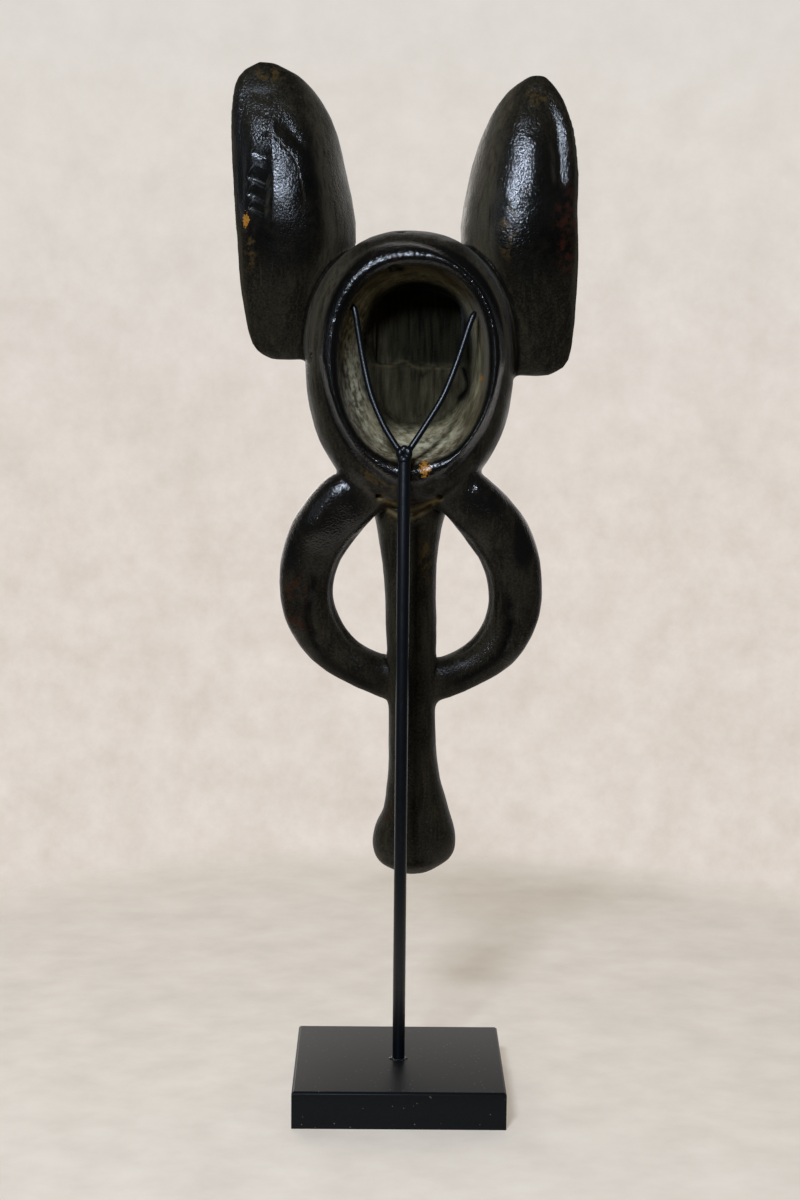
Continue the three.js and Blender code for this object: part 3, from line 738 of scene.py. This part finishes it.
def patinatedWood():
    # tropical hardwood, carved, blackened by smoke and handling and waxed: near black with a soft shine where
    # hands polish it, dull olive-brown dust where they don't, and raw grey wood inside the hollow
    material, tree = newMaterial("patinatedWood")
    place = addNode(tree, "ShaderNodeTexCoord").outputs["Object"]
    kept = {}
    for name in wearAndPaintedLight:
        kept[name] = addNode(tree, "ShaderNodeAttribute", {"attribute_name": name}).outputs["Fac"]

    # size in mm of one swell of the pattern, octaves, stretch; specks are drawn as coarse as the render shows
    patterns = {
        "broad": (34, 3, (1, 1, 1)), "mottle": (6, 4, (1, 1, 1)), "speck": (1.5, 2, (1, 1, 1)),
        "fibre": (2.6, 3, (1, 1, 0.10)), "smear": (16, 3, (1, 1, 0.45)),
    }
    for name, (size, octaves, stretch) in patterns.items():
        spot = addNode(tree, "ShaderNodeMapping", {"Scale": stretch}, {"Vector": place}).outputs[0]
        settings = {"Scale": 1 / (size * mm), "Detail": octaves, "Roughness": 0.55}
        kept[name] = addNode(tree, "ShaderNodeTexNoise", settings, {"Vector": spot}).outputs["Fac"]

    # hands polish unevenly
    uneven = addNode(tree, "ShaderNodeMath", {"operation": "MULTIPLY_ADD", 1: 1.2, 2: -0.6}, {0: kept["smear"]})
    patchy = addNode(tree, "ShaderNodeMath", {"operation": "ADD"}, {0: kept["polished"], 1: uneven.outputs[0]})
    kept["patchy"] = patchy.outputs[0]

    # each layer lies where its first range and its second are both high
    layers = {
        "brownGround": ("broad", 0.40, 0.62, "mottle", 0.30, 0.70, 0.80, "#1b1711"),
        "dullFilm": ("patchy", 1.00, -0.10, "broad", 0.05, 0.50, 0.70, "#211e16"),
        "dustClouds": ("patchy", 0.85, 0.00, "smear", 0.40, 0.64, 0.55, "#342e22"),
        "dustStreaks": ("patchy", 0.90, 0.00, "fibre", 0.48, 0.72, 0.45, "#3f3727"),
        "dustGrains": ("patchy", 0.80, -0.10, "speck", 0.50, 0.70, 0.45, "#40372a"),
        "darkPores": ("broad", 0.10, 0.40, "speck", 0.46, 0.32, 0.50, "#060605"),
        # darker where the surface sinks into hollows and creases
        "darkerInHollows": ("sheltered", 0.10, 0.80, "mottle", 0.20, 0.50, 0.80, "#0a0907"),
        # painted sheen on the sideways-facing surfaces, stronger higher up
        "paintedSideSheen": ("sideSheen", 0.05, 0.85, "fibre", 0.15, 0.60, 0.60, "#595140"),
        "wornEdges": ("worn", 0.20, 0.90, "mottle", 0.42, 0.62, 0.22, "#2e2416"),
        "ochreSmears": ("ochre", 0.02, 0.60, "mottle", 0.44, 0.62, 0.75, "#513f22"),
        "redEarth": ("red", 0.02, 0.60, "mottle", 0.44, 0.64, 0.60, "#401d10"),
        "handledRim": ("handled", 0.20, 0.80, "mottle", 0.78, 0.56, 0.90, "#050504"),
    }
    surface = colour("#0a0907")
    for first, low, high, second, lowToo, highToo, strength, paint in layers.values():
        shares = []
        for source, start, end in ((first, low, high), (second, lowToo, highToo)):
            settings = {"interpolation_type": "SMOOTHSTEP", "From Min": start, "From Max": end}
            shares.append(addNode(tree, "ShaderNodeMapRange", settings, {"Value": kept[source]}).outputs[0])
        both = addNode(tree, "ShaderNodeMath", {"operation": "MULTIPLY"}, {0: shares[0], 1: shares[1]})
        share = addNode(tree, "ShaderNodeMath", {"operation": "MULTIPLY", 1: strength}, {0: both.outputs[0]})
        mixed = addNode(tree, "ShaderNodeMix", {"data_type": "RGBA", 7: colour(paint)}, {0: share.outputs[0]})
        if isinstance(surface, tuple):
            mixed.inputs[6].default_value = surface
        else:
            tree.links.new(surface, mixed.inputs[6])
        surface = mixed.outputs[2]

    # raw wood in the hollow: grey, fibres up and down, cloudy stains, darker the deeper it lies, with painted shade
    # along the top of the wall and painted light on the left and lower walls
    streaks = addNode(tree, "ShaderNodeMapRange", {"From Min": 0.3, "From Max": 0.7}, {"Value": kept["fibre"]})
    raw = addNode(tree, "ShaderNodeMix", {"data_type": "RGBA", 6: colour("#6c6349"), 7: colour("#b0a480")},
                  {0: streaks.outputs[0]})
    cloud = addNode(tree, "ShaderNodeMapRange", {"From Min": 0.42, "From Max": 0.62, "To Max": 0.75},
                    {"Value": kept["smear"]})
    stained = addNode(tree, "ShaderNodeMix", {"data_type": "RGBA", 7: colour("#39341f")},
                      {0: cloud.outputs[0], 6: raw.outputs[2]})
    # painted light: the lit walls are paled in patches
    lightPatches = addNode(tree, "ShaderNodeMapRange", {
        "From Min": 0.43, "From Max": 0.60, "To Min": 0.05, "To Max": 0.95,
    }, {"Value": kept["mottle"]})
    wallLightShare = addNode(tree, "ShaderNodeMath", {"operation": "MULTIPLY"},
                         {0: kept["paintedLitWalls"], 1: lightPatches.outputs[0]})
    wallLightened = addNode(tree, "ShaderNodeMix", {"data_type": "RGBA", 7: colour("#dacfae")},
                    {0: wallLightShare.outputs[0], 6: stained.outputs[2]})
    # the deep tone of the hollow; near the top of the wall it stands for painted shade
    darkHollowTone = addNode(tree, "ShaderNodeMix", {"data_type": "RGBA", 6: colour("#090804"), 7: colour("#232015")},
                   {0: streaks.outputs[0]})
    hollowDarkened = addNode(tree, "ShaderNodeMix", {"data_type": "RGBA"},
                     {0: kept["hollowDarkening"], 6: wallLightened.outputs[2], 7: darkHollowTone.outputs[2]})
    warmLip = addNode(tree, "ShaderNodeMath", {"operation": "MULTIPLY"}, {0: kept["lip"], 1: streaks.outputs[0]})
    warmed = addNode(tree, "ShaderNodeMix", {"data_type": "RGBA", 7: colour("#54401f")},
                     {0: warmLip.outputs[0], 6: hollowDarkened.outputs[2]})
    finished = addNode(tree, "ShaderNodeMix", {"data_type": "RGBA"},
                       {0: kept["hollow"], 6: surface, 7: warmed.outputs[2]})
    # pale worn wood on the throat's arcs, and painted highlight on the incised line and the ledge
    finished = addNode(tree, "ShaderNodeMix", {"data_type": "RGBA", 7: colour("#83724c")},
                       {0: kept["paleWearAndHighlights"], 6: finished.outputs[2]})
    # painted shade: the shade lines are mixed in near black
    finished = addNode(tree, "ShaderNodeMix", {"data_type": "RGBA", 7: colour("#040404")},
                       {0: kept["paintedShadeLines"], 6: finished.outputs[2]})

    # chipped to fresh wood, with ragged borders
    ragged = addNode(tree, "ShaderNodeMath", {"operation": "MULTIPLY_ADD", 1: 1.5, 2: -0.75}, {0: kept["speck"]})
    chip = addNode(tree, "ShaderNodeMath", {"operation": "ADD"}, {0: kept["bare"], 1: ragged.outputs[0]})
    chipped = addNode(tree, "ShaderNodeMapRange", {"From Min": 0.38, "From Max": 0.5}, {"Value": chip.outputs[0]})
    within = addNode(tree, "ShaderNodeMapRange", {"From Max": 0.08}, {"Value": kept["bare"]})
    bare = addNode(tree, "ShaderNodeMath", {"operation": "MULTIPLY"}, {0: chipped.outputs[0], 1: within.outputs[0]})
    fresh = addNode(tree, "ShaderNodeMix", {"data_type": "RGBA", 7: colour("#b07427")},
                    {0: bare.outputs[0], 6: finished.outputs[2]})

    # the wood itself is dull; wax and handling lay a shining film over it where it is polished
    outside = addNode(tree, "ShaderNodeMath", {"operation": "SUBTRACT", 0: 1.0}, {1: kept["hollow"]})
    shine = addNode(tree, "ShaderNodeMapRange", {"From Min": -0.1, "From Max": 0.9, "To Min": 0.2},
                    {"Value": kept["patchy"]})
    wax = addNode(tree, "ShaderNodeMath", {"operation": "MULTIPLY"}, {0: shine.outputs[0], 1: kept["waxed"]})
    film = addNode(tree, "ShaderNodeMath", {"operation": "MULTIPLY"}, {0: wax.outputs[0], 1: outside.outputs[0]})
    grain = addNode(tree, "ShaderNodeBump", {"Strength": 0.2, "Distance": 0.20 * mm}, {"Height": kept["fibre"]})
    rough = addNode(tree, "ShaderNodeMapRange", {"From Max": 0.5, "To Min": 0.8, "To Max": 0.1},
                    {"Value": kept["notched"]})
    pebbled = addNode(tree, "ShaderNodeBump", {"Distance": 0.50 * mm},
                      {"Strength": rough.outputs[0], "Height": kept["speck"], "Normal": grain.outputs[0]})
    hammered = addNode(tree, "ShaderNodeBump", {"Strength": 0.22, "Distance": 0.40 * mm},
                       {"Height": kept["mottle"], "Normal": pebbled.outputs[0]})
    shader = addNode(tree, "ShaderNodeBsdfPrincipled", {
        "Roughness": 0.6, "Specular IOR Level": 0.03, "Coat Roughness": 0.18, "Coat IOR": 1.6,
        "Sheen Weight": 0.05, "Sheen Roughness": 0.35,
    }, {
        "Base Color": fresh.outputs[2], "Normal": hammered.outputs[0],
        "Coat Weight": film.outputs[0], "Coat Normal": hammered.outputs[0],
    })
    addNode(tree, "ShaderNodeOutputMaterial", links={"Surface": shader.outputs[0]})
    return material


def blackenedSteel():
    # mild steel rod, brush-painted satin black: cool, smooth, with a faint ripple along it
    material, tree = newMaterial("blackenedSteel")
    place = addNode(tree, "ShaderNodeTexCoord").outputs["Object"]
    ripple = addNode(tree, "ShaderNodeTexNoise", {"Scale": 1 / (3 * mm), "Detail": 2}, {"Vector": place})
    rough = addNode(tree, "ShaderNodeMapRange", {"To Min": 0.24, "To Max": 0.42}, {"Value": ripple.outputs["Fac"]})
    bump = addNode(tree, "ShaderNodeBump", {"Strength": 0.25, "Distance": 0.1 * mm},
                   {"Height": ripple.outputs["Fac"]})
    shader = addNode(tree, "ShaderNodeBsdfPrincipled", {"Base Color": colour("#0a0e12"), "Specular IOR Level": 0.4},
                     {"Roughness": rough.outputs[0], "Normal": bump.outputs[0]})
    addNode(tree, "ShaderNodeOutputMaterial", links={"Surface": shader.outputs[0]})
    return material


def paintedFibreboard():
    # pressed fibreboard, sprayed black: low sheen, with specks of dust and lint caught on it
    material, tree = newMaterial("paintedFibreboard")
    place = addNode(tree, "ShaderNodeTexCoord").outputs["Object"]
    cells = addNode(tree, "ShaderNodeTexVoronoi", {"Scale": 1 / (5.5 * mm)}, {"Vector": place})
    speck = addNode(tree, "ShaderNodeMapRange", {"From Min": 0.10, "From Max": 0.06},
                    {"Value": cells.outputs["Distance"]})
    fine = addNode(tree, "ShaderNodeTexNoise", {"Scale": 1 / (1.2 * mm), "Detail": 3}, {"Vector": place})
    paint = addNode(tree, "ShaderNodeMix", {"data_type": "RGBA", 6: colour("#0f1112"), 7: colour("#1a1b1c")},
                    {0: fine.outputs["Fac"]})
    dusted = addNode(tree, "ShaderNodeMix", {"data_type": "RGBA", 7: colour("#6d6553")},
                     {0: speck.outputs[0], 6: paint.outputs[2]})
    bump = addNode(tree, "ShaderNodeBump", {"Strength": 0.3, "Distance": 0.08 * mm},
                   {"Height": fine.outputs["Fac"]})
    shader = addNode(tree, "ShaderNodeBsdfPrincipled", {"Roughness": 0.36, "Specular IOR Level": 0.09},
                     {"Base Color": dusted.outputs[2], "Normal": bump.outputs[0]})
    addNode(tree, "ShaderNodeOutputMaterial", links={"Surface": shader.outputs[0]})
    return material


sheet = {"radius": 0.65, "setBack": 0.20, "whole": 0.42, "gone": 0.60}  # metres; it fades between the last two


def paleSheet():
    # a plain painted sheet, dull and faintly cloudy, that runs out softly into the pale surroundings
    material, tree = newMaterial("paleSheet")
    place = addNode(tree, "ShaderNodeTexCoord").outputs["Object"]
    patches = addNode(tree, "ShaderNodeTexNoise", {"Scale": 1 / (50 * mm), "Detail": 5, "Roughness": 0.6},
                      {"Vector": place})
    tone = addNode(tree, "ShaderNodeMix", {"data_type": "RGBA", 6: colour("#c4baac"), 7: colour("#e2d8ca")},
                   {0: patches.outputs["Fac"]})
    shader = addNode(tree, "ShaderNodeBsdfPrincipled", {
        "Roughness": 0.85, "Specular IOR Level": 0.2, "Emission Strength": 0.50,
    }, {"Base Color": tone.outputs[2], "Emission Color": tone.outputs[2]})
    middle = addNode(tree, "ShaderNodeVectorMath", {"operation": "ADD", 1: (0, sheet["setBack"], 0)}, {0: place})
    distance = addNode(tree, "ShaderNodeVectorMath", {"operation": "LENGTH"}, {0: middle.outputs[0]})
    fade = addNode(tree, "ShaderNodeMapRange", {
        "interpolation_type": "SMOOTHSTEP", "From Min": sheet["whole"], "From Max": sheet["gone"],
    }, {"Value": distance.outputs["Value"]})
    clear = addNode(tree, "ShaderNodeBsdfTransparent")
    blend = addNode(tree, "ShaderNodeMixShader",
                    links={0: fade.outputs[0], 1: shader.outputs[0], 2: clear.outputs[0]})
    addNode(tree, "ShaderNodeOutputMaterial", links={"Surface": blend.outputs[0]})
    return material


wood = patinatedWood()
steel = blackenedSteel()
mask.data.materials.append(wood)
for piece in (steelFork, steelRod, rodFoot):
    piece.data.materials.clear()
    piece.data.materials.append(steel)
baseBoard.data.materials.append(paintedFibreboard())
print("materials done")


# Floor, surroundings, lights

bpy.ops.mesh.primitive_circle_add(
    vertices=96, radius=sheet["radius"], fill_type="NGON", location=(0, -sheet["setBack"], 0),
)
floor = bpy.context.active_object
floor.name = "floor"
settle(floor)
floor.data.materials.append(paleSheet())

world = bpy.data.worlds.new("studio")
bpy.context.scene.world = world
world.use_nodes = True
skyTree = world.node_tree
skyTree.nodes.clear()
direction = addNode(skyTree, "ShaderNodeTexCoord").outputs["Generated"]
mottling = addNode(skyTree, "ShaderNodeTexNoise", {"Scale": 55, "Detail": 8, "Roughness": 0.7},
                   {"Vector": direction})
wall = addNode(skyTree, "ShaderNodeMix", {"data_type": "RGBA", 6: colour("#c8bcb0"), 7: colour("#f1e9e2")},
               {0: mottling.outputs["Fac"]})
split = addNode(skyTree, "ShaderNodeSeparateXYZ", links={"Vector": direction})
height = addNode(skyTree, "ShaderNodeMapRange", {"From Min": -0.10, "From Max": 0.12, "To Max": 0.6},
                 {"Value": split.outputs["Z"]})
cooler = addNode(skyTree, "ShaderNodeMix", {"data_type": "RGBA", 7: colour("#dddbd6")},
                 {0: height.outputs[0], 6: wall.outputs[2]})
seen = addNode(skyTree, "ShaderNodeBackground", links={"Color": cooler.outputs[2]})
dimming = addNode(skyTree, "ShaderNodeMapRange", {
    "interpolation_type": "SMOOTHSTEP", "From Min": -0.85, "From Max": -0.20, "To Min": 0.95, "To Max": 0.04,
}, {"Value": split.outputs["Y"]})
around = addNode(skyTree, "ShaderNodeBackground", {"Color": colour("#f0ebe6")}, {"Strength": dimming.outputs[0]})
ray = addNode(skyTree, "ShaderNodeLightPath")
both = addNode(skyTree, "ShaderNodeMixShader", links={
    0: ray.outputs["Is Camera Ray"], 1: around.outputs[0], 2: seen.outputs[0],
})
addNode(skyTree, "ShaderNodeOutputWorld", links={"Surface": both.outputs[0]})

softboxes = [
    {"name": "keySoftbox", "from": (0.46, 1.98, 1.60), "size": (0.40, 0.30), "watts": 46, "tint": "#dceaff"},
    {"name": "doorLeft", "from": (1.09, 2.10, 0.90), "size": (0.2, 0.4), "watts": 2.5, "tint": "#dceaff"},
    {"name": "windowLeft", "from": (1.70, 0.98, 1.02), "size": (0.25, 1.1), "watts": 0.9, "tint": "#dceaff"},
    {"name": "frontSoftbox", "from": (0.9, -2.2, 0.9), "size": (1.0, 0.8), "watts": 7, "tint": "#fff8f0"},
]
for box in softboxes:
    light = bpy.data.lights.new(box["name"], "AREA")
    light.shape = "RECTANGLE"
    light.size, light.size_y = box["size"]
    light.energy = box["watts"]
    light.color = colour(box["tint"])[:3]
    lamp = bpy.data.objects.new(box["name"], light)
    bpy.context.scene.collection.objects.link(lamp)
    lamp.location = box["from"]
    aim = Vector((0, 0, 0.5)) - lamp.location
    lamp.rotation_euler = aim.to_track_quat("-Z", "Y").to_euler()
bpy.context.scene.view_settings.view_transform = "Standard"


# The camera stands where the photograph's did, found from the base's corners and the mask's outline

view = {
    "from": (0.0150, 1.6453, 0.5787), "yaw": 0.45, "down": 7.49, "roll": 0.55,  # metres, degrees
    "focalPixels": 2343, "frameHigh": 1200, "sensor": 36,
}
yaw, down, roll = (math.radians(view[name]) for name in ("yaw", "down", "roll"))
forward = Vector((-math.sin(yaw) * math.cos(down), -math.cos(yaw) * math.cos(down), -math.sin(down)))
level = forward.cross(Vector((0, 0, 1))).normalized()
upright = level.cross(forward)
right = level * math.cos(roll) + upright * math.sin(roll)
up = upright * math.cos(roll) - level * math.sin(roll)
camera = bpy.data.objects.new("camera", bpy.data.cameras.new("camera"))
bpy.context.scene.collection.objects.link(camera)
camera.data.sensor_width = view["sensor"]
camera.data.lens = view["focalPixels"] / view["frameHigh"] * view["sensor"]
turn = Matrix((right, up, -forward)).transposed().to_4x4()
camera.matrix_world = Matrix.Translation(view["from"]) @ turn
bpy.context.scene.camera = camera
